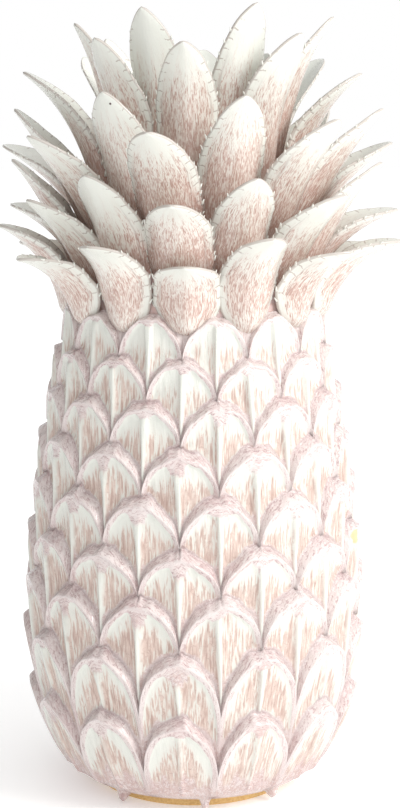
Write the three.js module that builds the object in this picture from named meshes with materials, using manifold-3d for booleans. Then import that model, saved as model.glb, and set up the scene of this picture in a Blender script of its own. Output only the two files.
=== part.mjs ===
// A hand-built ceramic pineapple ornament: one fired piece that stands on its own foot.
// Millimetres, +Z up. The origin is on the table, in the middle of the foot, and -Y is the front.
import * as THREE from 'three';
import { mergeVertices } from 'three/addons/utils/BufferGeometryUtils.js';
import Module from 'manifold-3d';

// Driving dimensions of the fruit. Radii are those of the wall behind the scales.
const fruitHeight = 330; // table to the tips of the top row of scales
const footRadius = 68;
const footHeight = 8; // the band of bare clay under the glaze
const hemOverhang = 5; // how far the glazed hem stands out over the foot
const hemRoll = 3; // height of the rounded edge of the hem
const hemWidening = 12; // how far the wall swells out right above the hem
const bellyHeight = 112;
const bellyRadius = 110.5;
const shoulderRadius = 82;
const shoulderFullness = 1.7; // above 1 the sides stay full and turn in late
const undersideFullness = 0.8; // below 1 the underside rounds in quickly

// Driving dimensions of the scales.
const scalesPerRing = 13;
const firstScaleTurn = 9; // degrees from the front to a scale of the top row
const scaleProud = 7.2; // how far a tip stands out from the wall in the middle rows
const topScaleProud = 5.2;
const ledgeHeight = 6.2; // the slope of glaze from a tip up to the scales above it
const topLedgeHeight = 2;
const ledgeNarrowing = 0.3; // share of its height that a ledge loses down to the cusps
const archRound = 0.66; // share of the round head in an arch, the rest drops steeply at its two ends
const archEndPower = 12;
const cuspProud = 0.22; // share of the stand-out that is left between two scales
const leastFace = 1.2; // clay left between a rim and the ledge below it

// Heights of the rows of tips from the table, as shares of the fruit's height. The last two rows stand
// one under the other, and all the others are staggered.
const rowShares = [1.0, 0.915, 0.833, 0.742, 0.648, 0.547, 0.453, 0.344, 0.212];
const rowsToFullSize = 3; // the scales grow over the first rows

// Driving dimensions of the crown. The core is the clay hidden behind the leaves.
const coreInset = 3; // from the shoulder's radius to the foot of the core
const coreTopRadius = 44;
const coreHeight = 98; // above the fruit
const longestLeaf = 126; // along its keel
const broadestLeaf = 44;
const leafThickness = 4.6; // along the keel at the root
const leafTipThickness = 2.4;
const leafCup = 0.62; // how deep a leaf is cupped, as a share of its half width
const leafTipCup = 0.2;
const cupOpensFrom = 0.45; // how far along a leaf it starts to flatten towards its tip
const leafRootShare = 0.45; // width at the root against the widest place
const leafWidestAt = 0.4; // how far along a leaf is widest
const leafFullness = 6; // higher keeps the leaf wide until nearer its tip
const tipSharpness = 0.8; // below 1 the two edges of a leaf meet bluntly at its tip
const sideSag = 3; // degrees that the leaves at the sides lie lower than those in front

// The whorls of leaves, from the lowest up. A root is so far inside the shoulder's radius, as a share of it,
// and so far above the fruit, as a share of the core's height. Lengths and widths are shares of the longest
// and the broadest leaf. Turns and rises are in degrees, and a rise is measured from level: it goes from
// rise at the root to tipRise at the tip, late for a high bend. Every other leaf stands up by tallLift.
const whorls = [
  {
    count: 13, turn: -3, inset: -0.061, above: -0.112, length: 0.548, width: 0.932,
    rise: 80, tipRise: 14, bend: 1.1, tallLift: 8,
  },
  {
    count: 13, turn: -6, inset: 0.098, above: 0.041, length: 0.73, width: 0.977,
    rise: 62, tipRise: 27, bend: 1.4, tallLift: 8,
  },
  {
    count: 13, turn: -12, inset: 0.195, above: 0.327, length: 0.881, width: 1,
    rise: 58, tipRise: 33, bend: 1.5, tallLift: 12,
  },
  {
    count: 8, turn: -4, inset: 0.268, above: 0.592, length: 0.929, width: 0.909,
    rise: 80, tipRise: 44, bend: 1.8, tallLift: 2,
  },
  {
    count: 7, turn: 30, inset: 0.366, above: 0.714, length: 1, width: 0.841,
    rise: 87, tipRise: 66, bend: 2.2, tallLift: 0,
  },
  {
    count: 4, turn: 0, inset: 0.671, above: 0.837, length: 0.429, width: 0.682,
    rise: 96, tipRise: 104, bend: 1.0, tallLift: 0,
  },
];

// Leaves that the maker set apart by hand: the trimmed one in front, some turned or lifted, and the short
// ones at the back of the innermost tall whorl. Length and width are shares, turn and lift are degrees.
const setByHand = [
  { whorl: 0, leaf: 0, length: 0.76, width: 1.08, turn: 0, lift: 9 },
  { whorl: 0, leaf: 1, length: 1.08, width: 1, turn: 0, lift: 0 },
  { whorl: 0, leaf: 2, length: 1, width: 1, turn: 0, lift: 4 },
  { whorl: 0, leaf: 3, length: 1.16, width: 1, turn: 0, lift: -7 },
  { whorl: 0, leaf: 10, length: 1.17, width: 1, turn: 0, lift: 0 },
  { whorl: 0, leaf: 12, length: 1.03, width: 1, turn: -2, lift: -2 },
  { whorl: 1, leaf: 1, length: 1, width: 1, turn: 0, lift: 5 },
  { whorl: 1, leaf: 2, length: 0.99, width: 1, turn: 0, lift: 6 },
  { whorl: 1, leaf: 3, length: 1.15, width: 1, turn: 0, lift: 4 },
  { whorl: 1, leaf: 4, length: 1, width: 1, turn: 0, lift: -4 },
  { whorl: 1, leaf: 9, length: 1, width: 1, turn: 0, lift: -4 },
  { whorl: 1, leaf: 10, length: 1.13, width: 1, turn: 0, lift: 6 },
  { whorl: 1, leaf: 11, length: 0.93, width: 1, turn: 1, lift: 7 },
  { whorl: 1, leaf: 12, length: 1.03, width: 1, turn: -4, lift: 5 },
  { whorl: 2, leaf: 1, length: 1.02, width: 1, turn: 3, lift: 3 },
  { whorl: 2, leaf: 2, length: 0.98, width: 1, turn: 4, lift: 8 },
  { whorl: 2, leaf: 3, length: 1.04, width: 1, turn: 4, lift: -2 },
  { whorl: 2, leaf: 4, length: 0.92, width: 1, turn: 0, lift: 2 },
  { whorl: 2, leaf: 9, length: 0.99, width: 1, turn: 6, lift: -4 },
  { whorl: 2, leaf: 11, length: 0.91, width: 1, turn: 10, lift: 6 },
  { whorl: 2, leaf: 12, length: 1.05, width: 1, turn: 7, lift: 3 },
  { whorl: 3, leaf: 0, length: 1.03, width: 1, turn: 0, lift: 2 },
  { whorl: 3, leaf: 1, length: 1.07, width: 1.1, turn: 6, lift: 4 },
  { whorl: 3, leaf: 2, length: 0.93, width: 1, turn: 0, lift: -1 },
  { whorl: 3, leaf: 3, length: 1.04, width: 1, turn: 0, lift: -7 },
  { whorl: 3, leaf: 5, length: 1.04, width: 1, turn: 0, lift: -7 },
  { whorl: 3, leaf: 6, length: 0.95, width: 1, turn: 0, lift: -2 },
  { whorl: 3, leaf: 7, length: 1.03, width: 1, turn: 2, lift: 6 },
  { whorl: 4, leaf: 0, length: 1.02, width: 1.05, turn: 3, lift: -1 },
  { whorl: 4, leaf: 1, length: 1, width: 1, turn: 0, lift: -4 },
  { whorl: 4, leaf: 2, length: 0.77, width: 1, turn: 0, lift: 0 },
  { whorl: 4, leaf: 3, length: 0.78, width: 1, turn: 0, lift: 0 },
  { whorl: 4, leaf: 4, length: 0.85, width: 1, turn: 0, lift: 0 },
  { whorl: 4, leaf: 5, length: 0.94, width: 1, turn: 0, lift: -1 },
  { whorl: 4, leaf: 6, length: 1, width: 1.05, turn: -5, lift: -2 },
];
const asTheOthers = { length: 1, width: 1, turn: 0, lift: 0 };

// Fineness of the facets.
const columnsPerScale = 6;
const leafRings = [0, 0.25, 0.5, 0.71, 0.88];
const leafSteps = 24;
const coreSegments = 20;

const radians = THREE.MathUtils.degToRad;
const mix = THREE.MathUtils.lerp;
const hemRadius = footRadius + hemOverhang;
const rowHeights = rowShares.map((share) => share * fruitHeight);
const lastRow = rowHeights.length - 1;

// The wall behind the scales: full sides above the belly, and a rounded underside down to the hem.
function wallRadius(height) {
  if (height >= bellyHeight) {
    const up = (height - bellyHeight) / (fruitHeight - bellyHeight);
    return bellyRadius - (bellyRadius - shoulderRadius) * up ** shoulderFullness;
  }
  const down = (bellyHeight - height) / (bellyHeight - footHeight);
  const swell = Math.max(0, 1 - down * down) ** undersideFullness;
  const lowRadius = hemRadius + hemWidening * Math.min(1, (height - footHeight) / footHeight);
  return lowRadius + (bellyRadius - lowRadius) * swell;
}

// How far a column lies from the middle of its scale: 0 at the tip, 1 between two scales.
function offsetFromTip(row, column) {
  const half = columnsPerScale / 2;
  const staggered = Math.min(row, lastRow - 1) % 2 === 1;
  const inScale = (column + (staggered ? half : 0)) % columnsPerScale;
  return Math.min(inScale, columnsPerScale - inScale) / half;
}

const grown = (row) => Math.min(1, row / rowsToFullSize);
const proudOf = (row) => mix(topScaleProud, scaleProud, grown(row));
const ledgeOf = (row) => mix(topLedgeHeight, ledgeHeight, grown(row));

// How far an arch has come down from its tip: 0 at the tip, 1 at its two ends.
function archShape(offset) {
  return archRound * offset ** 2 + (1 - archRound) * offset ** archEndPower;
}

// How deep the arches of a row reach down: to the ledge over the tips of the row below.
function archDepth(row) {
  const upper = Math.min(row, lastRow - 1);
  return rowHeights[upper] - rowHeights[upper + 1] - ledgeOf(row + 1);
}

function rimHeight(row, column) {
  return rowHeights[row] - archDepth(row) * archShape(offsetFromTip(row, column));
}

function rimProud(row, column) {
  return proudOf(row) * mix(1, cuspProud, archShape(offsetFromTip(row, column)));
}

// The top of the ledge over a rim, kept under the rim of the row above.
function ledgeTop(row, column) {
  const ledge = ledgeOf(row) * (1 - ledgeNarrowing * offsetFromTip(row, column));
  const free = rimHeight(row, column) + ledge;
  return row === 0 ? free : Math.min(free, rimHeight(row - 1, column) - leastFace);
}

// Each row of scales is two rings of points, the top of its ledge and its rim. The long faces of the last
// row have one more ring half way down to the hem.
function scaleRings() {
  const rings = [];
  for (let row = 0; row <= lastRow; row += 1) {
    rings.push((column) => [wallRadius(ledgeTop(row, column)), ledgeTop(row, column)]);
    rings.push((column) => {
      const height = rimHeight(row, column);
      return [wallRadius(height) + rimProud(row, column), height];
    });
  }
  rings.push((column) => {
    const height = (rimHeight(lastRow, column) + footHeight + hemRoll) / 2;
    return [wallRadius(height) + rimProud(lastRow, column) / 2, height];
  });
  return rings;
}

function indexedGeometry(positions, faces) {
  const geometry = new THREE.BufferGeometry();
  geometry.setAttribute('position', new THREE.Float32BufferAttribute(positions, 3));
  geometry.setIndex(faces);
  return geometry;
}

// Joins ring after ring of points, with the same number of points in each, by two triangles a side.
function joinRings(faces, ringCount, around) {
  for (let ring = 0; ring + 1 < ringCount; ring += 1) {
    for (let side = 0; side < around; side += 1) {
      const next = (side + 1) % around;
      const here = ring * around;
      const there = here + around;
      faces.push(here + side, there + side, there + next);
      faces.push(here + side, there + next, here + next);
    }
  }
}

// One closed skin from the top of the fruit down over the scales to the hem and the foot.
function makeFruit() {
  const columns = scalesPerRing * columnsPerScale;
  const rings = [
    ...scaleRings(),
    () => [wallRadius(footHeight + hemRoll), footHeight + hemRoll],
    () => [hemRadius, footHeight],
    () => [footRadius, footHeight],
    () => [footRadius, 0],
  ];
  const positions = [];
  for (const ring of rings) {
    for (let column = 0; column < columns; column += 1) {
      const [radius, height] = ring(column);
      const turn = radians(firstScaleTurn) + (column / columns) * 2 * Math.PI;
      positions.push(radius * Math.sin(turn), -radius * Math.cos(turn), height);
    }
  }
  const faces = [];
  joinRings(faces, rings.length, columns);
  const top = positions.length / 3;
  positions.push(0, 0, ledgeTop(0, 0));
  const bottom = top + 1;
  positions.push(0, 0, 0);
  const lowest = (rings.length - 1) * columns;
  for (let column = 0; column < columns; column += 1) {
    const next = (column + 1) % columns;
    faces.push(top, column, next);
    faces.push(bottom, lowest + next, lowest + column);
  }
  return indexedGeometry(positions, faces);
}

// The clay inside the crown that carries the roots of the leaves: a drum that draws in to a flat top.
function makeCore() {
  const low = fruitHeight - ledgeHeight * 2;
  const high = fruitHeight + coreHeight;
  const radius = shoulderRadius - coreInset;
  const profile = [
    new THREE.Vector2(0, low),
    new THREE.Vector2(radius, low),
    new THREE.Vector2(radius, mix(low, high, 0.2)),
    new THREE.Vector2(mix(radius, coreTopRadius, 0.45), mix(low, high, 0.75)),
    new THREE.Vector2(coreTopRadius, high),
    new THREE.Vector2(0, high),
  ];
  const core = new THREE.LatheGeometry(profile, coreSegments);
  core.rotateX(Math.PI / 2);
  return core;
}

// The middle line of a leaf in the plane of its own turn: it leaves the core steeply and curls outwards.
function leafLine(leaf) {
  const points = [{ radius: leaf.rootRadius, height: leaf.rootHeight, rise: leaf.rise }];
  const step = leaf.length / leafSteps;
  for (let index = 0; index < leafSteps; index += 1) {
    const along = (index + 0.5) / leafSteps;
    const rise = mix(leaf.rise, leaf.tipRise, along ** leaf.bend);
    const before = points[index];
    points.push({
      radius: before.radius + step * Math.cos(radians(rise)),
      height: before.height + step * Math.sin(radians(rise)),
      rise,
    });
  }
  return points;
}

function leafHalfWidth(leaf, along) {
  const spread = Math.sin((Math.PI / 2) * Math.min(1, along / leafWidestAt));
  const share = mix(leafRootShare, 1, spread);
  return (leaf.width / 2) * share * (1 - along ** leafFullness) ** tipSharpness;
}

// A leaf is a cupped blade with a soft keel outside. A ring of it has its two edges, a point between each
// edge and the keel, the keel, and one point inside. Depth is counted outwards from the middle line.
function makeLeaf(leaf) {
  const line = leafLine(leaf);
  const turn = radians(leaf.turn);
  const betweenShare = 0.6; // of the half width
  const positions = [];
  const place = (spot, across, depth) => {
    const rise = radians(spot.rise);
    const radius = spot.radius + depth * Math.sin(rise);
    positions.push(
      radius * Math.sin(turn) + across * Math.cos(turn),
      -radius * Math.cos(turn) + across * Math.sin(turn),
      spot.height - depth * Math.cos(rise),
    );
  };
  for (const along of leafRings) {
    const spot = line[Math.round(along * leafSteps)];
    const half = leafHalfWidth(leaf, along);
    const halfThickness = mix(leafThickness, leafTipThickness, along) / 2;
    const cup = half * mix(leafCup, leafTipCup, THREE.MathUtils.smoothstep(along, cupOpensFrom, 1));
    const between = halfThickness - cup * betweenShare ** 2;
    place(spot, -half, -cup);
    place(spot, 0, -halfThickness);
    place(spot, half, -cup);
    place(spot, half * betweenShare, between);
    place(spot, 0, halfThickness);
    place(spot, -half * betweenShare, between);
  }
  const around = 6;
  const tip = leafRings.length * around;
  place(line[leafSteps], 0, 0);
  const faces = [];
  joinRings(faces, leafRings.length, around);
  const last = tip - around;
  for (let side = 0; side < around; side += 1) {
    faces.push(last + side, tip, last + ((side + 1) % around));
  }
  for (let side = 1; side + 1 < around; side += 1) {
    faces.push(0, side, side + 1);
  }
  return indexedGeometry(positions, faces);
}

// Every leaf of every whorl, with its own turn, length, width and rise.
function allLeaves() {
  const leaves = [];
  whorls.forEach((whorl, index) => {
    for (let count = 0; count < whorl.count; count += 1) {
      const hand = setByHand.find((leaf) => leaf.whorl === index && leaf.leaf === count) ?? asTheOthers;
      const fromFront = Math.min(count, whorl.count - count);
      const turn = whorl.turn + (count * 360) / whorl.count + hand.turn;
      const lift = sideSag * Math.cos(2 * radians(turn)) + (fromFront % 2) * whorl.tallLift + hand.lift;
      leaves.push({
        turn,
        bend: whorl.bend,
        rootRadius: shoulderRadius * (1 - whorl.inset),
        rootHeight: fruitHeight + coreHeight * whorl.above,
        rise: whorl.rise + lift,
        tipRise: whorl.tipRise + lift * 2,
        length: longestLeaf * whorl.length * hand.length,
        width: broadestLeaf * whorl.width * hand.width,
      });
    }
  });
  return leaves;
}

const wasm = await Module();
wasm.setup();

function toSolid(geometry) {
  const bare = geometry.clone();
  bare.deleteAttribute('normal');
  bare.deleteAttribute('uv');
  const merged = mergeVertices(bare, 1e-4);
  return new wasm.Manifold(new wasm.Mesh({
    numProp: 3,
    vertProperties: new Float32Array(merged.attributes.position.array),
    triVerts: new Uint32Array(merged.index.array),
  }));
}

// The parts are pressed together while the clay is soft, so they are one solid.
let clay = toSolid(makeFruit()).add(toSolid(makeCore()));
for (const leaf of allLeaves()) {
  clay = clay.add(toSolid(makeLeaf(leaf)));
}
const joined = clay.getMesh();

const glaze = new THREE.MeshStandardMaterial({ color: 0xeee2dc, roughness: 0.3, metalness: 0 });
const pineapple = new THREE.Mesh(
  indexedGeometry(Array.from(joined.vertProperties), Array.from(joined.triVerts)),
  glaze,
);
pineapple.name = 'pineapple';

const ornament = new THREE.Group();
ornament.add(pineapple);

export default ornament;
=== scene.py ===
import math

import bpy
import numpy as np
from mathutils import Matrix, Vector


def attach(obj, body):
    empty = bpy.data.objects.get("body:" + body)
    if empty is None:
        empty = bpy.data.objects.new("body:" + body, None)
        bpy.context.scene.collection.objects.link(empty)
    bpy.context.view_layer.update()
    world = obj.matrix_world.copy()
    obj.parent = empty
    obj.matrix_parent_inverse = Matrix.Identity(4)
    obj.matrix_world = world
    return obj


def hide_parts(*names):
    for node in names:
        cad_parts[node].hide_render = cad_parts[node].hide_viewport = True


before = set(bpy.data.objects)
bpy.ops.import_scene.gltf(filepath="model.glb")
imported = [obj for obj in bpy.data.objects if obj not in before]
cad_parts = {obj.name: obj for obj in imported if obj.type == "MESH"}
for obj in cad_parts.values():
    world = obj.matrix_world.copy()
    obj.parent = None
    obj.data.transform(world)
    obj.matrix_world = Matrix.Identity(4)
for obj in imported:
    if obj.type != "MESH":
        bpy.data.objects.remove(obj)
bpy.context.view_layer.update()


# The studio. A pale floor runs out of sight behind the pineapple. One large soft light stands high on the
# right and in front, and the white room around it fills the shadows.
EYE = (0, -1.28, 0.495)
LOOKS_DOWN = 10.38  # degrees
WINDOW_PLACE, WINDOW_AIM = Vector((1.4, -0.9, 1.2)), Vector((0, 0, 0.3))
BRIGHTEST_WAY = (0.64, -0.42, 0.64)
FLOOR_WIDTH = 14

camera = bpy.data.cameras.new("camera")
camera.sensor_width = 36
camera.lens = 85.5
camera.shift_x = 0.0075
viewer = bpy.data.objects.new("camera", camera)
viewer.location = EYE
viewer.rotation_euler = (math.radians(90 - LOOKS_DOWN), 0, 0)
bpy.context.collection.objects.link(viewer)
bpy.context.scene.camera = viewer
bpy.context.scene.view_settings.view_transform = "Standard"

window = bpy.data.lights.new("window", "AREA")
window.shape = "DISK"
window.size = 0.8
window.energy = 21
window.color = (1, 0.99, 0.97)
lamp = bpy.data.objects.new("window", window)
lamp.location = WINDOW_PLACE
lamp.rotation_euler = (WINDOW_AIM - WINDOW_PLACE).to_track_quat("-Z", "Y").to_euler()
bpy.context.collection.objects.link(lamp)

# The room is white behind the pineapple and bright on the right and in front, and its left side is in shade.
room = bpy.data.worlds.new("white_room")
room.use_nodes = True
room_nodes, room_links = room.node_tree.nodes, room.node_tree.links


def room_shading(low, high, least=0.0, most=1.0):
    shading = room_nodes.new("ShaderNodeMapRange")
    shading.interpolation_type = "SMOOTHSTEP"
    for name, value in (("From Min", low), ("From Max", high), ("To Min", least), ("To Max", most)):
        shading.inputs[name].default_value = value
    return shading


towards = room_nodes.new("ShaderNodeTexCoord")
facing = room_nodes.new("ShaderNodeVectorMath")
facing.operation = "DOT_PRODUCT"
facing.inputs[1].default_value = BRIGHTEST_WAY
spread = room_shading(-0.6, 0.95, 0.1, 1.17)
split = room_nodes.new("ShaderNodeSeparateXYZ")
behind = room_shading(0.72, 0.9)
blend = room_nodes.new("ShaderNodeMix")
blend.inputs["B"].default_value = 1.0
room_links.new(towards.outputs["Generated"], facing.inputs[0])
room_links.new(facing.outputs["Value"], spread.inputs["Value"])
room_links.new(towards.outputs["Generated"], split.inputs["Vector"])
room_links.new(split.outputs["Y"], behind.inputs["Value"])
room_links.new(behind.outputs["Result"], blend.inputs["Factor"])
room_links.new(spread.outputs["Result"], blend.inputs["A"])
room_links.new(blend.outputs["Result"], room_nodes["Background"].inputs["Strength"])
room_nodes["Background"].inputs["Color"].default_value = (1, 1, 1, 1)
bpy.context.scene.world = room

# The floor is a sheet of white acrylic lit softly from below, so it is as white as the room behind it.
bpy.ops.mesh.primitive_plane_add(size=FLOOR_WIDTH)
floor = bpy.context.object
floor.name = "floor"
acrylic = bpy.data.materials.new("white_acrylic")
acrylic.use_nodes = True
sheet = acrylic.node_tree.nodes["Principled BSDF"]
sheet.inputs["Base Color"].default_value = (0.9, 0.9, 0.9, 1)
sheet.inputs["Roughness"].default_value = 0.7
sheet.inputs["Emission Color"].default_value = (1, 1, 1, 1)
sheet.inputs["Emission Strength"].default_value = 0.3
floor.data.materials.append(acrylic)


# The fruit. It was thrown as a hollow jar and closed, and thirteen scales to a ring were pressed out of its
# wall, each overlapping the two below it. Every scale has a rolled lip, a ledge of clay above the lip, a
# rib down its middle and a combed, scooped panel on each side of the rib.
FRUIT_TOP = 0.330
FOOT_HEIGHT = 0.008
HEM_RADIUS = 0.073
HEM_ROLL = 0.003
HEM_SWELL = 0.012
BELLY_HEIGHT = 0.112
BELLY_RADIUS = 0.1105
SHOULDER_RADIUS = 0.082
SCALES = 13
FIRST_SCALE = math.radians(9)
ROW_SHARES = (1.0, 0.915, 0.833, 0.742, 0.648, 0.547, 0.453, 0.344, 0.212)  # of the fruit's height
LEDGE, LEDGE_GROWTH = 0.002, 0.0042  # the growth is added down to the fourth row
PROUD, PROUD_GROWTH = 0.0052, 0.002
CUSP_SUNK = 0.58  # share of its standing out that a lip loses down to the cusp between two scales
ARCH_ROUND, ARCH_END = 0.66, 12  # the share of an arch that is round, and how steeply the rest ends
RIB_HALF_WIDTH = 0.0021
RIB_RISE = 0.0011
PANEL_STEP, PANEL_SCOOP = 0.0014, 0.0011  # depth just inside the lip, and what the scoop adds
COMB_SPACING, COMB_DEPTH = 0.0049, 0.0003
COLUMNS = 42  # to a scale, drawn together at its rib and at its two sides
DRAWN = 0.35
UNEVEN = 0.0011  # how far the tip of a scale may lie above or below its row
AROUND = SCALES * COLUMNS
LEDGE_STEPS = (0.15, 0.36, 0.58, 0.8, 0.93)
LIP_STEPS = (0.0007, 0.0014, 0.0024, 0.0036, 0.0050, 0.0068)  # measured square to the lip
FACE_STEPS = 6
LONG_FACE_STEPS = 13
# Where runs of glaze hang from the hem: degrees from the front, and length as a share of the longest.
GLAZE_RUNS = (
    (-150, 0.9), (-113, 1), (-76, 0.5), (-37, 0.95), (5.4, 1), (42, 0.85), (81, 0.6), (121, 1), (166, 0.7),
)
RUN_HALF_WIDTH = 0.0031
RUN_RADIUS = 0.080  # where that width is measured
# The hem from the edge of its roll to its inside, (radius, height) where the glaze is plain and in a run.
HEM_RINGS = (
    ((0.0823, 0.0106), (0.0826, 0.0100)),
    ((0.0795, 0.0097), (0.0823, 0.0068)),
    ((0.0765, 0.0091), (0.0818, 0.0034)),
    ((0.0745, 0.0086), (0.0797, 0.0014)),
    ((0.0728, 0.0080), (0.0768, 0.0030)),
    ((0.0670, 0.0082), (0.0670, 0.0082)),
)
CHIP_TURN, CHIP_HEIGHT = math.radians(74), 0.1755
CHIP_HALF_WIDTH, CHIP_HALF_HEIGHT, CHIP_DEPTH = 0.0095, 0.0062, 0.0012


def smooth(low, high, value):
    t = np.clip((value - low) / (high - low), 0, 1)
    return t * t * (3 - 2 * t)


def mixed(first, second, share):
    return first + (second - first) * share


def soft_least(*gaps):
    """The least of a few distances, rounded off where two of them meet."""
    return sum(np.clip(gap, 1e-5, None) ** -1.4 for gap in gaps) ** (-1 / 1.4)


def drawn_together(even):
    """Even places from rib to side, at whole numbers, moved closer together at the ribs and sides."""
    return even - DRAWN * np.sin(2 * math.pi * even) / (2 * math.pi)


def arch_fall(off):
    """How far an arch has come down: 0 at its tip, 1 at its two ends."""
    return ARCH_ROUND * off**2 + (1 - ARCH_ROUND) * off**ARCH_END


def wall_radius(height):
    up = np.clip((height - BELLY_HEIGHT) / (FRUIT_TOP - BELLY_HEIGHT), 0, None)
    above = BELLY_RADIUS - (BELLY_RADIUS - SHOULDER_RADIUS) * up**1.7
    down = np.clip((BELLY_HEIGHT - height) / (BELLY_HEIGHT - FOOT_HEIGHT), 0, 1)
    low = HEM_RADIUS + HEM_SWELL * np.clip((height - FOOT_HEIGHT) / FOOT_HEIGHT, 0, 1)
    below = low + (BELLY_RADIUS - low) * (1 - down**2) ** 0.8
    return np.where(height >= BELLY_HEIGHT, above, below)


def make_mesh(name, points, faces, material):
    mesh = bpy.data.meshes.new(name)
    mesh.from_pydata([tuple(p) for p in points], [], faces)
    mesh.polygons.foreach_set("use_smooth", [True] * len(mesh.polygons))
    mesh.materials.append(material)
    mesh.update()
    thing = bpy.data.objects.new(name, mesh)
    bpy.context.collection.objects.link(thing)
    return thing


def paint(thing, name, values):
    layer = thing.data.attributes.new(name, "FLOAT", "POINT")
    layer.data.foreach_set("value", np.asarray(values, dtype=np.float32).ravel())


def closed_skin(rings, around):
    """Faces over rings from the top down, closed by fans to the last two points, the top and the bottom."""
    faces = []
    for ring in range(rings - 1):
        here, there = ring * around, (ring + 1) * around
        for side in range(around):
            after = (side + 1) % around
            faces.append((here + side, there + side, there + after, here + after))
    for side in range(around):
        after = (side + 1) % around
        faces.append((rings * around, side, after))
        faces.append((rings * around + 1, there + after, there + side))
    return faces


class Scales:
    """The rule that sets out one row of scales: where its rim runs and how far it stands out."""

    heights = [share * FRUIT_TOP for share in ROW_SHARES]
    last = len(ROW_SHARES) - 1
    columns = np.arange(AROUND)
    rng = np.random.default_rng(7)

    @staticmethod
    def ledge_of(row):
        return LEDGE + LEDGE_GROWTH * min(1, row / 3)

    def __init__(self, row):
        half = COLUMNS / 2
        stagger = half if min(row, self.last - 1) % 2 else 0
        within = (self.columns + stagger) % COLUMNS
        self.side = drawn_together(np.where(within <= half, within / half, within / half - 2))
        self.off = np.abs(self.side)
        number = ((self.columns + stagger + half) // COLUMNS).astype(int) % SCALES
        grown = min(1, row / 3)
        turns = self.rng.uniform(0, 6.28, (4, SCALES))[:, number]
        worn = 0.16 * np.sin(self.side * 7 + turns[0]) + 0.1 * np.sin(self.side * 17 + turns[1])
        self.ledge = self.ledge_of(row) * (1 - 0.3 * self.off) * (1 + worn * (1 - self.off**4))
        pressed = 0.0005 * np.sin(self.side * 9 + turns[2]) + 0.00028 * np.sin(self.side * 23 + turns[3])
        lift = self.rng.uniform(-UNEVEN, UNEVEN, SCALES)[number] * (1 - self.off**2)
        lean = self.rng.uniform(-0.05, 0.05, SCALES)[number] * np.sin(self.off * math.pi)
        self.tone = self.rng.uniform(0, 1, SCALES)[number]
        self.pleat = self.rng.uniform(0, 6.28, SCALES)[number]
        self.spill_length = self.rng.uniform(0.006, 0.016, SCALES)[number] * (0.3 + 0.7 * grown)
        self.spill_width = self.rng.uniform(0.0042, 0.0072, SCALES)[number] * (0.4 + 0.6 * grown)
        self.washed = 0.6 + 0.4 * grown
        self.lower = max(0, row - 3) / (self.last - 3)
        self.band = 0.0012 * self.lower
        self.sway = self.rng.uniform(-0.0034, 0.0022, SCALES)[number]
        upper = min(row, self.last - 1)
        depth = self.heights[upper] - self.heights[upper + 1] - self.ledge_of(row + 1)
        arch = arch_fall(np.clip(np.abs(self.side + lean), 0, 1))
        arch = np.where(self.off >= 0.999, 1, arch)
        self.rim = self.heights[row] - depth * arch + lift + pressed * (1 - self.off**4)
        self.proud = (PROUD + PROUD_GROWTH * grown) * (1 - CUSP_SUNK * arch)
        half_pitch = math.pi * wall_radius(self.heights[row]) / SCALES
        pieces = 40
        share = np.linspace(0, 1, pieces + 1)
        slope = 2 * ARCH_ROUND * share + ARCH_END * (1 - ARCH_ROUND) * share ** (ARCH_END - 1)
        square = np.sqrt(1 + (depth * slope / half_pitch) ** 2)
        travelled = np.append(0, np.cumsum(square[1:] + square[:-1]) / 2) * half_pitch / pieces
        self.square = np.interp(self.off, share, square)
        self.arc = np.interp(self.off, share, travelled)
        self.sideways = half_pitch * self.side
        self.to_side = half_pitch * (1 - self.off)


# Two of these marks are painted light: the one for creases is painted shade, the one for lips a painted
# highlight.
MARKS = ("panel", "rib", "wash", "crease", "lip", "arc", "fall", "tone", "down")
skin = {name: [] for name in ("radius", "level") + MARKS[:-1]}


def add_ring(**values):
    for name, ring in skin.items():
        ring.append(np.broadcast_to(values.get(name, 0.0), AROUND))


rows = [Scales(row) for row in range(len(ROW_SHARES))]
ledge_tops = []
for row, scales in enumerate(rows):
    top = scales.rim + scales.ledge
    if row:
        top = np.minimum(top, rows[row - 1].rim - 0.0012)
    ledge_tops.append(top)
ledge_tops.append(np.full(AROUND, FOOT_HEIGHT + HEM_ROLL))
shelf = np.maximum(ledge_tops[0] + 0.0004, FRUIT_TOP - 0.0075)
# The shelf carries a faint painted highlight.
add_ring(radius=wall_radius(shelf) - 0.0002, level=shelf, lip=0.3, arc=rows[0].arc, tone=rows[0].tone)

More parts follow.
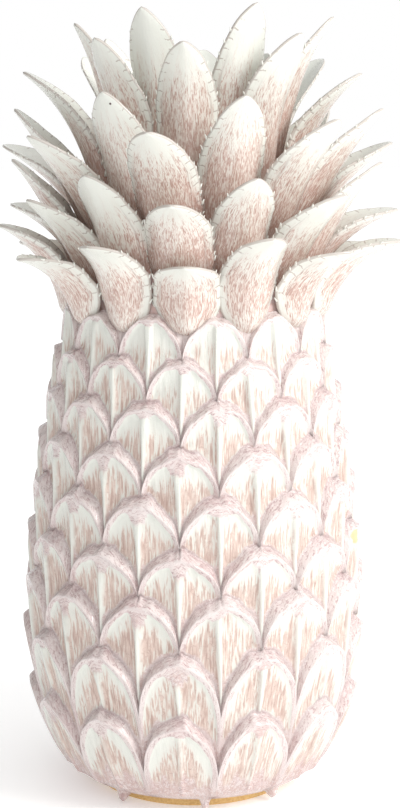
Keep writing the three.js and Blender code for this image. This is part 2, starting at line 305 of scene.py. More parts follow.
for row, scales in enumerate(rows):
    top = ledge_tops[row]
    slope_length = np.hypot((top - scales.rim) / scales.square, scales.proud)
    for step in (0, *LEDGE_STEPS, 1):
        level = top + (scales.rim - top) * step
        rise = 0.45 * step + 0.55 * (3 * step**2 - 2 * step**3)
        add_ring(
            radius=wall_radius(level) + scales.proud * rise,
            level=level,
            # Painted shade at the top of the ledge, in the crease under the rim of the scale above.
            crease=(1 - step) ** 1.6 * (1 - 0.7 * scales.off**2),
            # Painted highlight along the top of the rolled lip.
            lip=0.75 * smooth(0.8, 1, step),
            arc=scales.arc,
            fall=slope_length * step,
            tone=scales.tone,
        )
    room_below = scales.rim - ledge_tops[row + 1]
    drops = []
    for index, step in enumerate(LIP_STEPS):
        drops.append(np.minimum(step * scales.square, room_below * 0.6 * (index + 1) / len(LIP_STEPS)))
    lowest = row == len(rows) - 1
    steps = LONG_FACE_STEPS if lowest else FACE_STEPS
    for step in range(1, steps):
        share = 1 - (1 - step / steps) ** 1.25
        drops.append(drops[len(LIP_STEPS) - 1] * (1 - share) + room_below * share)
    lower_square = np.ones(AROUND) if lowest else rows[row + 1].square
    spill = scales.spill_length
    has_room, has_panel = smooth(0.002, 0.012, room_below), smooth(0.002, 0.008, room_below)
    for drop in drops:
        share = drop / room_below
        from_lip = drop / scales.square
        from_below = (room_below - drop) / lower_square
        funnel = scales.spill_width * np.clip(1 - drop / spill, 0, 1) ** 0.55
        half_rib = RIB_HALF_WIDTH * np.clip(1 - share, 0, 1) ** 0.35
        aside = np.abs(scales.sideways - scales.sway * (1 - share))
        rib = (1 - smooth(half_rib - 0.0003, half_rib + 0.0005, aside)) * smooth(spill * 0.8, spill, drop)
        brow = from_lip - 0.0003 - 0.0022 * scales.off**2 - scales.band
        inside = soft_least(brow, from_below - scales.band, aside - np.maximum(half_rib - 0.0016, funnel))
        if lowest:
            inside = soft_least(inside, scales.to_side - 0.0024 + 0.0012 * np.sin(drop * 160 + scales.pleat))
        panel = np.maximum(smooth(0.0009, 0.0016, inside), rib) * has_panel
        if lowest:
            sag = share + 0.07 * np.sin(scales.side * 9 + scales.pleat) + 0.04 * np.sin(scales.side * 23)
            panel = panel * (1 - 0.8 * smooth(0.5, 0.8, sag))
            rib = rib * 0.4 * (1 - smooth(0.4, 0.7, share))
        combed = np.sin(scales.sideways * 2 * math.pi / COMB_SPACING + scales.pleat)
        scoop = PANEL_STEP * smooth(0.0006, 0.0022, inside) + PANEL_SCOOP * smooth(0.001, 0.010, inside)
        relief = RIB_RISE * rib - scoop * (1 - rib) - 0.0003 * smooth(0.0005, 0.0016, from_lip)
        relief = relief + COMB_DEPTH * combed * smooth(0.001, 0.005, inside)
        relief = relief + 0.0004 * np.exp(-(((from_below - 0.0013) / 0.0009) ** 2))
        reach = share + 0.5 * (0.42 - scales.off) + 0.24 * (scales.tone - 0.5)
        # Painted shade in the crease where this face meets the ledge of the scale below.
        crease = 0.5 * (1 - smooth(0.0002, 0.0014, from_below)) * (1 - 0.7 * smooth(0.6, 1, scales.off))
        # A painted highlight along the bead just above that crease.
        rolled = 0.5 * np.exp(-(((from_below - 0.002) / 0.0008) ** 2))
        add_ring(
            radius=wall_radius(scales.rim - drop) + scales.proud * (1 - share) + relief * has_room,
            level=scales.rim - drop,
            panel=panel,
            rib=rib,
            wash=scales.washed * smooth(0.12, 0.8 - 0.25 * scales.lower, reach),
            crease=crease,
            # Painted highlight just under the rim, where the rolled lip turns down.
            lip=np.maximum(1 - smooth(0.0004, 0.0013, from_lip), rolled),
            arc=scales.arc,
            fall=slope_length + from_lip,
            tone=scales.tone,
        )

angles = FIRST_SCALE + math.pi / SCALES * drawn_together(2 * np.arange(AROUND) / COLUMNS)
wave = 0.0006 * np.sin(5 * angles + 1) + 0.0004 * np.sin(11 * angles) + 0.0003 * np.sin(23 * angles + 2)
run = np.zeros(AROUND)
for turn, size in GLAZE_RUNS:
    away = (angles - math.radians(turn) + math.pi) % (2 * math.pi) - math.pi
    run = np.maximum(run, size * np.exp(-((away * RUN_RADIUS / RUN_HALF_WIDTH) ** 4)))
for (plain_radius, plain_level), (run_radius, run_level) in HEM_RINGS:
    add_ring(
        radius=mixed(plain_radius, run_radius, run),
        level=mixed(plain_level + wave * (plain_level < 0.008), run_level, run),
        wash=0.9,
        panel=mixed(0.25, 0.1, run),
        fall=0.05 - plain_level,
        arc=rows[-1].arc,
        tone=rows[-1].tone,
    )

radius_grid, level_grid = np.array(skin["radius"]), np.array(skin["level"])
steps_down = np.hypot(np.diff(radius_grid, axis=0), np.diff(level_grid, axis=0))
skin["down"] = np.vstack([np.zeros((1, AROUND)), np.cumsum(steps_down, axis=0)])
beside = ((angles - CHIP_TURN + math.pi) % (2 * math.pi) - math.pi) * radius_grid
from_chip = np.hypot(beside / CHIP_HALF_WIDTH, (level_grid - CHIP_HEIGHT) / CHIP_HALF_HEIGHT)
chip = 1 - smooth(0.65, 1.1, from_chip)
radius_grid = radius_grid - CHIP_DEPTH * chip
points = np.stack([radius_grid * np.sin(angles), -radius_grid * np.cos(angles), level_grid], axis=-1)
points = np.vstack([points.reshape(-1, 3), [[0, 0, FRUIT_TOP + 0.002], [0, 0, FOOT_HEIGHT + 0.001]]])


class Nodes:
    """Short hand for laying out a shader: each call adds one node and returns its first output."""

    def __init__(self, name):
        self.material = bpy.data.materials.new(name)
        self.material.use_nodes = True
        self.tree = self.material.node_tree
        self.shader = self.tree.nodes["Principled BSDF"]

    def put(self, socket, value):
        if isinstance(value, bpy.types.NodeSocket):
            self.tree.links.new(value, socket)
        else:
            socket.default_value = value

    def math(self, kind, *values):
        node = self.tree.nodes.new("ShaderNodeMath")
        node.operation = kind
        for socket, value in zip(node.inputs, values):
            self.put(socket, value)
        return node.outputs[0]

    def times(self, *values):
        result = values[0]
        for value in values[1:]:
            result = self.math("MULTIPLY", result, value)
        return result

    def ramp(self, value, low, high):
        node = self.tree.nodes.new("ShaderNodeMapRange")
        node.interpolation_type = "SMOOTHSTEP"
        self.put(node.inputs["Value"], value)
        self.put(node.inputs["From Min"], low)
        self.put(node.inputs["From Max"], high)
        return node.outputs["Result"]

    def fall(self, value, low, high):
        return self.math("SUBTRACT", 1, self.ramp(value, low, high))

    def mix(self, share, first, second):
        node = self.tree.nodes.new("ShaderNodeMix")
        node.data_type = "RGBA"
        self.put(node.inputs[0], share)
        self.put(node.inputs[6], first)
        self.put(node.inputs[7], second)
        return node.outputs[2]

    def marked(self, name):
        node = self.tree.nodes.new("ShaderNodeAttribute")
        node.attribute_name = name
        return node.outputs["Fac"]

    def where(self, kind, stretch):
        spot = self.tree.nodes.new("ShaderNodeTexCoord")
        mapping = self.tree.nodes.new("ShaderNodeMapping")
        mapping.inputs["Scale"].default_value = stretch
        self.tree.links.new(spot.outputs[kind], mapping.inputs["Vector"])
        return mapping.outputs["Vector"]

    def gather(self, *values):
        node = self.tree.nodes.new("ShaderNodeCombineXYZ")
        for socket, value in zip(node.inputs, values):
            self.put(socket, value)
        return node.outputs[0]

    def around(self, down, radius, stretch):
        """Places round the upright axis and down the wall, so that marks in them run with the combing."""
        facing = self.tree.nodes.new("ShaderNodeVectorMath")
        facing.operation = "NORMALIZE"
        self.tree.links.new(self.where("Object", (1, 1, 0)), facing.inputs[0])
        spot = self.tree.nodes.new("ShaderNodeVectorMath")
        spot.operation = "MULTIPLY_ADD"
        self.tree.links.new(facing.outputs[0], spot.inputs[0])
        spot.inputs[1].default_value = (radius, radius, radius)
        self.tree.links.new(self.gather(0, 0, self.times(down, stretch)), spot.inputs[2])
        return spot.outputs[0]

    def near(self, spot, place, radius):
        node = self.tree.nodes.new("ShaderNodeVectorMath")
        node.operation = "DISTANCE"
        self.tree.links.new(spot, node.inputs[0])
        node.inputs[1].default_value = place
        return self.fall(node.outputs["Value"], radius * 0.7, radius)

    def noise(self, spot, scale, detail, distortion=0.0):
        node = self.tree.nodes.new("ShaderNodeTexNoise")
        node.inputs["Scale"].default_value = scale
        node.inputs["Detail"].default_value = detail
        node.inputs["Distortion"].default_value = distortion
        self.tree.links.new(spot, node.inputs["Vector"])
        return node.outputs["Fac"]

    def gloss(self, weight, roughness):
        self.shader.inputs["Coat Weight"].default_value = weight
        self.shader.inputs["Coat Roughness"].default_value = roughness

    def bump(self, height, strength, distance):
        node = self.tree.nodes.new("ShaderNodeBump")
        node.inputs["Strength"].default_value = strength
        node.inputs["Distance"].default_value = distance
        self.tree.links.new(height, node.inputs["Height"])
        return node.outputs["Normal"]


WHITE = (0.80, 0.81, 0.75, 1)
CREAM = (0.77, 0.71, 0.64, 1)
TAN = (0.69, 0.52, 0.45, 1)
RUST = (0.47, 0.28, 0.23, 1)
# PINK_WHITE is the pale glaze in the ledge's lines and also the painted highlight on the lips.
PINK_WHITE = (0.79, 0.71, 0.69, 1)
LILAC = (0.66, 0.51, 0.50, 1)
# MAUVE is the dark glaze in the ledge's lines and also the painted shade in the creases.
MAUVE = (0.38, 0.24, 0.24, 1)
BLUSH = (0.58, 0.39, 0.35, 1)
BARE_CHIP = (0.72, 0.58, 0.33, 1)


def scale_glaze():
    n = Nodes("scale_glaze")
    upright = n.around(n.marked("down"), 0.1, 0.1)
    even = n.where("Object", (1, 1, 1))
    combed = n.noise(upright, 900, 3, 0.5)
    broad = n.noise(upright, 190, 2, 0.5)
    mottle = n.noise(even, 380, 3, 1.4)
    cloud = n.noise(even, 42, 2)
    tone = n.marked("tone")
    arc = n.math("ADD", n.times(n.marked("arc"), 0.3), n.times(mottle, 0.0016))
    fall = n.math("ADD", n.marked("fall"), n.times(mottle, 0.0030))
    lines = n.noise(n.gather(arc, fall, tone), 1150, 2, 0.9)
    reach = n.times(n.marked("wash"), n.math("ADD", 0.5, n.times(n.ramp(broad, 0.3, 0.65), 0.5)))
    streaks = n.ramp(n.math("ADD", n.times(reach, 0.27), combed), 0.58, 0.70)
    panel = n.mix(n.times(reach, 0.8), WHITE, CREAM)
    pooled = n.ramp(n.math("ADD", combed, n.times(reach, 0.1)), 0.55, 0.75)
    depth = n.math("MAXIMUM", n.ramp(mottle, 0.5, 0.75), pooled)
    panel = n.mix(n.times(streaks, n.ramp(reach, 0.02, 0.4), 0.8), panel, n.mix(depth, TAN, RUST))
    panel = n.mix(n.times(n.marked("rib"), 0.97), panel, WHITE)
    ledge = n.mix(n.ramp(n.math("ADD", lines, n.times(cloud, 0.5)), 0.55, 0.85), LILAC, PINK_WHITE)
    blushed = n.ramp(n.math("ADD", mottle, n.times(lines, 0.4)), 0.6, 0.8)
    ledge = n.mix(n.times(n.marked("wash"), blushed, 0.75), ledge, BLUSH)
    ledge = n.mix(n.times(n.fall(lines, 0.36, 0.46), 0.55), ledge, MAUVE)
    # Painted shade: mauve in the creases.
    ledge = n.mix(n.times(n.marked("crease"), n.ramp(mottle, 0.3, 0.6), 0.55), ledge, MAUVE)
    # Painted highlight: pale pink-white along the lips.
    ledge = n.mix(n.times(n.marked("lip"), n.ramp(mottle, 0.3, 0.5), 0.75), ledge, PINK_WHITE)
    colour = n.mix(n.ramp(n.math("ADD", n.marked("panel"), n.times(mottle, 0.5)), 0.5, 0.95), ledge, panel)
    colour = n.mix(n.ramp(n.marked("chip"), 0.4, 0.6), colour, BARE_CHIP)
    n.put(n.shader.inputs["Base Color"], colour)
    n.put(n.shader.inputs["Roughness"], n.math("ADD", 0.22, n.times(n.marked("chip"), 0.6)))
    n.gloss(0.35, 0.08)
    relief = n.math("ADD", n.times(combed, 0.7, n.marked("panel")), n.times(mottle, 0.4))
    n.put(n.shader.inputs["Normal"], n.bump(n.math("ADD", relief, n.times(lines, 0.8)), 0.55, 0.0012))
    return n.material


fruit = make_mesh("fruit", points, closed_skin(len(radius_grid), AROUND), scale_glaze())
for name in MARKS:
    paint(fruit, name, np.append(np.array(skin[name]).ravel(), [0, 0]))
paint(fruit, "chip", np.append(chip.ravel(), [0, 0]))
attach(fruit, "root")
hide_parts("pineapple")


# The foot. The glaze was wiped off the lowest band before firing so that it wouldn't stick to the kiln
# shelf, which leaves the bare buff clay with throwing lines around it.
FOOT_RADIUS = 0.068
FOOT_SIDES = 180
THROWN_ROUGH = 0.0003
# How far inside that radius each ring of the foot lies, and its height, from the top down.
FOOT_RINGS = (
    (0.0080, 0.0100),
    (0.0002, 0.0094),
    (0.0001, 0.0045),
    (0.0000, 0.0020),
    (0.0004, 0.0005),
    (0.0015, 0.0000),
    (0.0080, 0.0000),
)
BUFF = (0.84, 0.58, 0.25, 1)
DARK_BUFF = (0.68, 0.42, 0.16, 1)


def turned_ring(radius, height, sides):
    turns = np.arange(sides) * 2 * math.pi / sides
    radius = radius * np.ones(sides)
    return list(zip(radius * np.sin(turns), -radius * np.cos(turns), np.full(sides, height)))


def bare_clay():
    n = Nodes("bare_clay")
    lines = n.noise(n.where("Object", (0.2, 0.2, 1)), 900, 2)
    grains = n.noise(n.where("Object", (1, 1, 1)), 700, 4)
    n.put(n.shader.inputs["Base Color"], n.mix(n.ramp(grains, 0.3, 0.75), BUFF, DARK_BUFF))
    n.put(n.shader.inputs["Roughness"], 0.8)
    n.put(n.shader.inputs["Normal"], n.bump(n.math("ADD", lines, grains), 0.5, 0.0004))
    return n.material


foot_points = []
thrown = 0.5 + 0.5 * np.sin(7 * np.arange(FOOT_SIDES) * 2 * math.pi / FOOT_SIDES)
for inset, height in FOOT_RINGS:
    rough = THROWN_ROUGH * thrown * (0.001 < height < 0.009)
    foot_points += turned_ring(FOOT_RADIUS - inset - rough, height, FOOT_SIDES)
foot_points += [(0, 0, FOOT_RINGS[0][1]), (0, 0, 0)]
foot = make_mesh("foot", foot_points, closed_skin(len(FOOT_RINGS), FOOT_SIDES), bare_clay())
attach(foot, "root")
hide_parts("pineapple")


# The crown. Each leaf was cut from a slab, cupped over the thumb, pinched thin at its edges and pressed
# onto the closed neck of the jar, whorl after whorl from the lowest up. The glaze is white at the tips and
# margins and thin over a pink-brown wash that was combed up from the roots.
LONGEST_LEAF = 0.126
BROADEST_LEAF = 0.044
CORE_HEIGHT = 0.098
# The whorls from the lowest up, whose roots lie inset from the shoulder and above the fruit by shares of the
# shoulder's radius and the core's height. Turns and rises are in degrees, and rise goes to tip along a leaf,
# late for a high bend. Every other leaf stands up by tall degrees more.
WHORLS = tuple(
    dict(zip(("count", "turn", "inset", "above", "length", "width", "rise", "tip", "bend", "tall"), values))
    for values in (
        (13, -3, -0.061, -0.112, 0.548, 0.932, 80, 14, 1.1, 8),
        (13, -6, 0.098, 0.041, 0.73, 0.977, 62, 27, 1.4, 8),
        (13, -12, 0.195, 0.327, 0.881, 1, 58, 33, 1.5, 12),
        (8, -4, 0.268, 0.592, 0.929, 0.909, 80, 44, 1.8, 2),
        (7, 30, 0.366, 0.714, 1, 0.841, 87, 66, 2.2, 0),
        (4, 0, 0.671, 0.837, 0.429, 0.682, 96, 104, 1.0, 0),
    )
)
# Leaves that were set apart one by one, (whorl, leaf): shares of length and width, degrees of turn and lift.
BY_HAND = {
    (0, 0): (0.76, 1.08, 0, 9),
    (0, 1): (1.08, 1, 0, 0),
    (0, 2): (1, 1, 0, 4),
    (0, 3): (1.16, 1, 0, -7),
    (0, 10): (1.17, 1, 0, 0),
    (0, 12): (1.03, 1, -2, -2),
    (1, 1): (1, 1, 0, 5),
    (1, 2): (0.99, 1, 0, 6),
    (1, 3): (1.15, 1, 0, 4),
    (1, 4): (1, 1, 0, -4),
    (1, 9): (1, 1, 0, -4),
    (1, 10): (1.13, 1, 0, 6),
    (1, 11): (0.93, 1, 1, 7),
    (1, 12): (1.03, 1, -4, 5),
    (2, 1): (1.02, 1, 3, 3),
    (2, 2): (0.98, 1, 4, 8),
    (2, 3): (1.04, 1, 4, -2),
    (2, 4): (0.92, 1, 0, 2),
    (2, 9): (0.99, 1, 6, -4),
    (2, 11): (0.91, 1, 10, 6),
    (2, 12): (1.05, 1, 7, 3),
    (3, 0): (1.03, 1, 0, 2),
    (3, 1): (1.07, 1.1, 6, 4),
    (3, 2): (0.93, 1, 0, -1),
    (3, 3): (1.04, 1, 0, -7),
    (3, 5): (1.04, 1, 0, -7),
    (3, 6): (0.95, 1, 0, -2),
    (3, 7): (1.03, 1, 2, 6),
    (4, 0): (1.02, 1.05, 3, -1),
    (4, 1): (1, 1, 0, -4),
    (4, 2): (0.77, 1, 0, 0),
    (4, 3): (0.78, 1, 0, 0),
    (4, 4): (0.85, 1, 0, 0),
    (4, 5): (0.94, 1, 0, -1),
    (4, 6): (1, 1.05, -5, -2),
}
SIDE_SAG = 3  # degrees by which leaves in front and behind stand higher, and those at the sides lower
TRIMMED = 0.998  # of a leaf's length, so that its tip stays inside the solid's
LEAF_CUP, TIP_CUP, CUP_OPENS_FROM = 0.62, 0.2, 0.45  # depths as shares of the half width
ROOT_WIDTH, WIDEST_FROM = 0.45, 0.4
KEEL_THICK, TIP_THICK, EDGE_THICK = 0.0046, 0.0024, 0.0016
LEAF_STEPS = 48
LEAF_RINGS = 33
HALF_ACROSS = 11  # points from the keel to an edge, closer together near the edge
EDGE_DRAW = math.pi / 2 * 0.96
ACROSS = np.sin(np.linspace(-1, 1, 2 * HALF_ACROSS + 1) * EDGE_DRAW) / math.sin(EDGE_DRAW)
LEAF_MARKS = ("along", "across", "outer", "tone", "margin", "shade", "length")


class Leaf:
    """One leaf: its middle line, its width and the place of any point on it."""

    def __init__(self, whorl_number, number):
        whorl = WHORLS[whorl_number]
        length, width, turn, lift = BY_HAND.get((whorl_number, number), (1, 1, 0, 0))
        from_front = min(number, whorl["count"] - number)
        self.turn = math.radians(whorl["turn"] + number * 360 / whorl["count"] + turn)
        lifted = SIDE_SAG * math.cos(2 * self.turn) + (from_front % 2) * whorl["tall"] + lift
        self.length = LONGEST_LEAF * whorl["length"] * length * TRIMMED
        self.half = BROADEST_LEAF * whorl["width"] * width / 2
        # The lowest leaves are tucked in at the root and have no leaf in front, so their painted shade
        # reaches only the very base and the wash is thin there.
        lowest = whorl_number == 0
        self.tuck = 0.006 if lowest else 0
        self.shaded = (-0.2, 0.05) if lowest else (0.24, 0.56)
        self.root_wash = 0.35 if lowest else 1
        rng = np.random.default_rng(100 * whorl_number + number)
        self.tone = rng.uniform()
        self.phase = rng.uniform(0, 6.28, 3)
        self.radius = [SHOULDER_RADIUS * (1 - whorl["inset"])]
        self.height = [FRUIT_TOP + CORE_HEIGHT * whorl["above"]]
        self.rise = [math.radians(whorl["rise"] + lifted)]
        step = self.length / LEAF_STEPS
        for index in range(LEAF_STEPS):
            bent = ((index + 0.5) / LEAF_STEPS) ** whorl["bend"]
            self.rise.append(math.radians(mixed(whorl["rise"] + lifted, whorl["tip"] + 2 * lifted, bent)))
            self.radius.append(self.radius[-1] + step * math.cos(self.rise[-1]))
            self.height.append(self.height[-1] + step * math.sin(self.rise[-1]))

    def half_width(self, along):
        spread = math.sin(math.pi / 2 * min(1, along / WIDEST_FROM))
        edge = 1 + 0.02 * math.sin(along * 17 + self.phase[0]) + 0.012 * math.sin(along * 41 + self.phase[2])
        return self.half * mixed(ROOT_WIDTH, 1, spread) * (1 - along**6) ** 0.8 * edge

    def place(self, along, across, depth):
        """A point so far along, across in shares of the half width, and outwards from the middle line."""
        at = min(along * LEAF_STEPS, LEAF_STEPS - 1e-6)
        low = int(at)
        part = at - low
        route = (self.radius, self.height, self.rise)
        radius, height, rise = (mixed(values[low], values[low + 1], part) for values in route)
        half = self.half_width(along)
        ripple = 0.0005 * math.sin(along * 21 + self.phase[1]) * across**2 * (1 - along)
        cup = half * mixed(LEAF_CUP, TIP_CUP, smooth(CUP_OPENS_FROM, 1, along))
        keeled = 0.8 * across**2 + 0.2 * abs(across)
        depth = depth - self.tuck * max(0, 1 - along / 0.14) ** 2 - cup * keeled + ripple
        radius += depth * math.sin(rise)
        side = half * across
        return (
            radius * math.sin(self.turn) + side * math.cos(self.turn),
            -radius * math.cos(self.turn) + side * math.sin(self.turn),
            height - depth * math.cos(rise),
        )


def leaf_loop(along):
    """The points around a leaf: across, depth, and 0 on its inner face to 1 on its outer face."""
    middle, edge = mixed(KEEL_THICK, TIP_THICK, along) / 2, EDGE_THICK / 2
    loop = []
    for outwards, shares in ((-1, ACROSS), (1, ACROSS[::-1])):
        for share in shares:
            thick = edge + (middle - edge) * (1 - share * share)
            loop.append((share * 0.985, outwards * thick, max(0.0, outwards)))
        loop.append((-outwards, 0.0, 0.5))
    return loop


def make_whorl(name, leaves, material):
    points, faces, flat = [], [], []
    marks = {mark: [] for mark in LEAF_MARKS}
    shares = 1 - (1 - np.arange(LEAF_RINGS) / LEAF_RINGS) ** 1.25

    def add_point(leaf, along, across, depth, outer):
        points.append(leaf.place(along, across, depth))
        margin = leaf.half_width(along) * (1 - abs(across))
        # Painted shade: darker towards the root, where the leaves in front cover it.
        shade = 1 - smooth(*leaf.shaded, along)
        outer = outer * mixed(leaf.root_wash, 1, smooth(0, 0.4, along))
        for mark, value in zip(marks.values(), (along, across, outer, leaf.tone, margin, shade, leaf.length)):
            mark.append(value)
        flat.append((leaf.half * across + leaf.tone, along * leaf.length))

    for leaf in leaves:
        start = len(points)
        for along in shares:
            loop = leaf_loop(along)
            for across, depth, outer in loop:
                add_point(leaf, along, across, depth, outer)
        add_point(leaf, 0, 0, 0, 1)
        add_point(leaf, 1, 0, 0, 1)
        faces += [tuple(start + corner for corner in face) for face in closed_skin(LEAF_RINGS, len(loop))]
    whorl = make_mesh(name, points, faces, material)
    for mark, values in marks.items():
        paint(whorl, mark, values)
    layer = whorl.data.uv_layers.new(name="UVMap")
    corners = np.empty(len(whorl.data.loops), dtype=np.int32)
    whorl.data.loops.foreach_get("vertex_index", corners)
    layer.data.foreach_set("uv", np.array(flat, dtype=np.float32)[corners].ravel())
    return whorl


PALE_WASH = (0.75, 0.66, 0.60, 1)
WASH = (0.58, 0.37, 0.31, 1)
# The deep colour is both wash pooled in the combing and painted shade at the covered roots.
DEEP_WASH_AND_SHADE = (0.32, 0.15, 0.115, 1)
CUT_EDGE = (0.34, 0.24, 0.21, 1)
PINHOLE_DARK = (0.08, 0.04, 0.04, 1)
PINHOLE_RADIUS = 0.0009
NICK_SPACING = 0.0068
pinholed = Leaf(2, 12).place(0.93, 0.45, 0.0014)


def leaf_glaze():
    n = Nodes("leaf_glaze")
    lengthwise = n.where("UV", (1, 0.12, 1))
    even = n.where("Object", (1, 1, 1))
    fine = n.noise(lengthwise, 1500, 3, 1.2)
    broad = n.noise(lengthwise, 240, 2, 0.5)
    mottle = n.noise(even, 330, 3, 1.2)
    dents = n.noise(even, 55, 2)
    along = n.marked("along")
    across = n.math("ABSOLUTE", n.marked("across"))
    margin = n.marked("margin")
    outer = n.marked("outer")
    shade = n.marked("shade")
    patchy = n.times(n.math("SUBTRACT", broad, 0.5), 0.45)
    uneven = n.math("ADD", patchy, n.times(n.math("SUBTRACT", 0.5, n.marked("tone")), 0.24))
    low = n.fall(n.math("ADD", along, uneven), 0.36, 0.97)
    inward = n.ramp(n.math("ADD", margin, n.times(shade, 0.006)), 0.0004, 0.0065)
    reach = n.times(low, inward, n.math("ADD", 0.3, n.times(outer, 0.7)))
    streaks = n.ramp(n.math("ADD", n.times(reach, 0.155), fine), 0.57, 0.67)
    pooled = n.ramp(n.math("ADD", fine, n.times(low, 0.12)), 0.58, 0.78)
    # Where the shade mark is high this is painted shade; elsewhere it is wash pooled in the combing.
    washed = n.mix(n.math("MAXIMUM", n.times(shade, 0.65), n.times(pooled, 0.7)), WASH, DEEP_WASH_AND_SHADE)
    colour = n.mix(n.times(reach, 0.8), WHITE, PALE_WASH)
    colour = n.mix(n.times(streaks, n.ramp(reach, 0.02, 0.5), 0.8), colour, washed)
    # Painted shade laid over the covered roots.
    colour = n.mix(n.times(shade, n.ramp(mottle, 0.25, 0.5), 0.35), colour, washed)
    fold = n.math("ABSOLUTE", n.math("SUBTRACT", n.math("ADD", across, n.times(broad, 0.16)), 0.86))
    fold = n.times(n.fall(fold, 0.0, 0.035), n.fall(along, 0.6, 0.8), n.ramp(along, 0.2, 0.35), outer)
    travelled = n.math("ADD", n.times(along, n.marked("length")), n.times(broad, 0.004))
    pitch = n.math("FRACT", n.math("DIVIDE", travelled, NICK_SPACING))
    deepest = n.times(n.ramp(mottle, 0.3, 0.6), 0.0034)
    cut = n.fall(n.math("ABSOLUTE", n.math("SUBTRACT", pitch, 0.5)), 0.04, 0.085)
    cut = n.times(cut, n.fall(margin, deepest, n.math("ADD", deepest, 0.0008)))
    cut = n.times(cut, n.ramp(along, 0.25, 0.35), n.fall(along, 0.88, 0.94))
    brim = n.times(n.fall(margin, 0.0002, 0.0011), 0.5)
    dark = n.math("MAXIMUM", n.math("MAXIMUM", n.times(fold, 0.35), n.times(cut, 0.55)), brim)
    colour = n.mix(dark, colour, CUT_EDGE)
    pinhole = n.near(even, pinholed, PINHOLE_RADIUS)
    colour = n.mix(pinhole, colour, PINHOLE_DARK)
    n.put(n.shader.inputs["Base Color"], colour)
    n.put(n.shader.inputs["Roughness"], 0.24)
    n.gloss(0.3, 0.1)
    relief = n.math("ADD", n.math("ADD", n.times(fine, 0.7), n.times(mottle, 0.4)), n.times(dents, 3.0))
    relief = n.math("SUBTRACT", relief, n.math("ADD", n.times(dark, 0.7), n.times(pinhole, 2.0)))
    n.put(n.shader.inputs["Normal"], n.bump(relief, 0.35, 0.001))
    return n.material


crown_glaze = leaf_glaze()
crown_leaves = []
for number, whorl in enumerate(WHORLS):
    leaves = [Leaf(number, leaf) for leaf in range(whorl["count"])]
    crown_leaves += leaves
    piece = make_whorl("whorl_%d" % (number + 1), leaves, crown_glaze)
    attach(piece, "root")
    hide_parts("pineapple")


# The thorns. Small points of clay were pulled out of both margins of every leaf and turned up towards its
# tip, a finger's width apart or less. The glaze ran off them and left each one white.
THORN_SPACING = 0.0068
THORN_LENGTH = 0.0038
THORN_WIDTH = 0.0021
THORN_BLUNT = 0.16  # radius of its point as a share of its width
THORNED_MARGIN = 0.72  # of a leaf's length, which gives how many thorns it has
LOWEST_THORN, THORNS_TAKE = 0.2, 0.66  # where they start along a leaf, and the share of it that they take
thorn_spots, thorn_ways, thorn_sizes = [], [], []
rng = np.random.default_rng(31)
for leaf in crown_leaves:
    for side in (-1, 1):
        count = int(leaf.length * THORNED_MARGIN / THORN_SPACING)
        for index in range(count):
            along = LOWEST_THORN + THORNS_TAKE * (index + rng.uniform(0.2, 0.8)) / count
            here = Vector(leaf.place(along, side * 0.97, 0))
            onward = (Vector(leaf.place(along + 0.02, side * 0.97, 0)) - here).normalized()
            outward = (here - Vector(leaf.place(along, side * 0.8, 0))).normalized()
            thorn_spots.append(here)
            thorn_ways.append((onward + outward * rng.uniform(0.35, 0.9)).normalized())
            thorn_sizes.append(rng.uniform(0.7, 1.15) * (1 - 0.35 * along))

seeds = bpy.data.meshes.new("thorn_seeds")
seeds.from_pydata([tuple(spot) for spot in thorn_spots], [], [])
ways = seeds.attributes.new("way", "FLOAT_VECTOR", "POINT")
ways.data.foreach_set("vector", np.array(thorn_ways, dtype=np.float32).ravel())
sizes = seeds.attributes.new("size", "FLOAT", "POINT")
sizes.data.foreach_set("value", np.array(thorn_sizes, dtype=np.float32))
seedbed = bpy.data.objects.new("thorn_seeds", seeds)
bpy.context.collection.objects.link(seedbed)


def thorn_glaze():
    n = Nodes("thorn_glaze")
    mottle = n.noise(n.where("Object", (1, 1, 1)), 300, 2)
    n.put(n.shader.inputs["Base Color"], n.mix(n.ramp(mottle, 0.5, 0.8), WHITE, PALE_WASH))
    n.put(n.shader.inputs["Roughness"], 0.28)
    return n.material


tree = bpy.data.node_groups.new("pull_thorns", "GeometryNodeTree")
tree.interface.new_socket("Geometry", in_out="INPUT", socket_type="NodeSocketGeometry")
length_socket = tree.interface.new_socket("Thorn length", in_out="INPUT", socket_type="NodeSocketFloat")
width_socket = tree.interface.new_socket("Thorn width", in_out="INPUT", socket_type="NodeSocketFloat")
glaze_socket = tree.interface.new_socket("Glaze", in_out="INPUT", socket_type="NodeSocketMaterial")
tree.interface.new_socket("Geometry", in_out="OUTPUT", socket_type="NodeSocketGeometry")
entry, leaving = tree.nodes.new("NodeGroupInput"), tree.nodes.new("NodeGroupOutput")
cone = tree.nodes.new("GeometryNodeMeshCone")
cone.inputs["Vertices"].default_value = 7
cone.inputs["Side Segments"].default_value = 2
half_wide, blunt = tree.nodes.new("ShaderNodeMath"), tree.nodes.new("ShaderNodeMath")
for share_of_width, share in ((half_wide, 0.5), (blunt, THORN_BLUNT)):
    share_of_width.operation = "MULTIPLY"
    share_of_width.inputs[1].default_value = share
way, size = (tree.nodes.new("GeometryNodeInputNamedAttribute") for _ in range(2))
for given, name, kind in ((way, "way", "FLOAT_VECTOR"), (size, "size", "FLOAT")):
    given.data_type = kind
    given.inputs["Name"].default_value = name
turned = tree.nodes.new("FunctionNodeAlignRotationToVector")
turned.axis = "Z"
planted = tree.nodes.new("GeometryNodeInstanceOnPoints")
real = tree.nodes.new("GeometryNodeRealizeInstances")
smoothed = tree.nodes.new("GeometryNodeSetShadeSmooth")
glazed = tree.nodes.new("GeometryNodeSetMaterial")
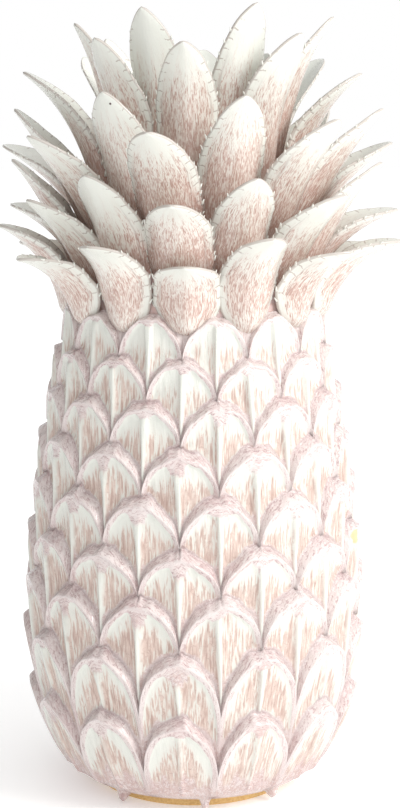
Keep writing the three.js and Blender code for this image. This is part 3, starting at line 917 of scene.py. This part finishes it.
for source, target in (
    (entry.outputs["Geometry"], planted.inputs["Points"]),
    (entry.outputs["Thorn length"], cone.inputs["Depth"]),
    (entry.outputs["Thorn width"], half_wide.inputs[0]),
    (entry.outputs["Thorn width"], blunt.inputs[0]),
    (half_wide.outputs[0], cone.inputs["Radius Bottom"]),
    (blunt.outputs[0], cone.inputs["Radius Top"]),
    (way.outputs["Attribute"], turned.inputs["Vector"]),
    (cone.outputs["Mesh"], planted.inputs["Instance"]),
    (turned.outputs["Rotation"], planted.inputs["Rotation"]),
    (size.outputs["Attribute"], planted.inputs["Scale"]),
    (planted.outputs["Instances"], real.inputs["Geometry"]),
    (real.outputs["Geometry"], smoothed.inputs["Geometry"]),
    (smoothed.outputs["Geometry"], glazed.inputs["Geometry"]),
    (entry.outputs["Glaze"], glazed.inputs["Material"]),
    (glazed.outputs["Geometry"], leaving.inputs["Geometry"]),
):
    tree.links.new(source, target)
grower = seedbed.modifiers.new("pull_thorns", "NODES")
grower.node_group = tree
grower[length_socket.identifier] = THORN_LENGTH
grower[width_socket.identifier] = THORN_WIDTH
grower[glaze_socket.identifier] = thorn_glaze()
grown = seedbed.evaluated_get(bpy.context.evaluated_depsgraph_get())
thorns = bpy.data.objects.new("thorns", bpy.data.meshes.new_from_object(grown))
bpy.context.collection.objects.link(thorns)
bpy.data.objects.remove(seedbed)
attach(thorns, "root")
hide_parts("pineapple")


# The neck that carries the leaves. It is the closed top of the jar, a plain drum that draws in, and the
# roots of the leaves hide all of it but the flat top in the heart of the crown.
NECK_SIDES = 96
# Radius and height of the neck's rings, from the top down.
NECK_RINGS = (
    (0.0200, 0.4268),
    (0.0400, 0.4279),
    (0.0435, 0.4265),
    (0.0445, 0.4240),
    (0.0530, 0.4140),
    (0.0632, 0.3990),
    (0.0720, 0.3620),
    (0.0788, 0.3360),
    (0.0788, 0.3160),
)
neck_points = []
for radius, height in NECK_RINGS:
    neck_points += turned_ring(radius, height, NECK_SIDES)
neck_points += [(0, 0, 0.4264), (0, 0, NECK_RINGS[-1][1])]


def neck_glaze():
    n = Nodes("neck_glaze")
    mottle = n.noise(n.where("Object", (1, 1, 1)), 180, 4, 1)
    n.put(n.shader.inputs["Base Color"], n.mix(n.ramp(mottle, 0.35, 0.7), LILAC, WASH))
    n.put(n.shader.inputs["Roughness"], 0.3)
    n.put(n.shader.inputs["Normal"], n.bump(mottle, 0.3, 0.001))
    return n.material


neck = make_mesh("neck", neck_points, closed_skin(len(NECK_RINGS), NECK_SIDES), neck_glaze())
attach(neck, "root")
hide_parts("pineapple")
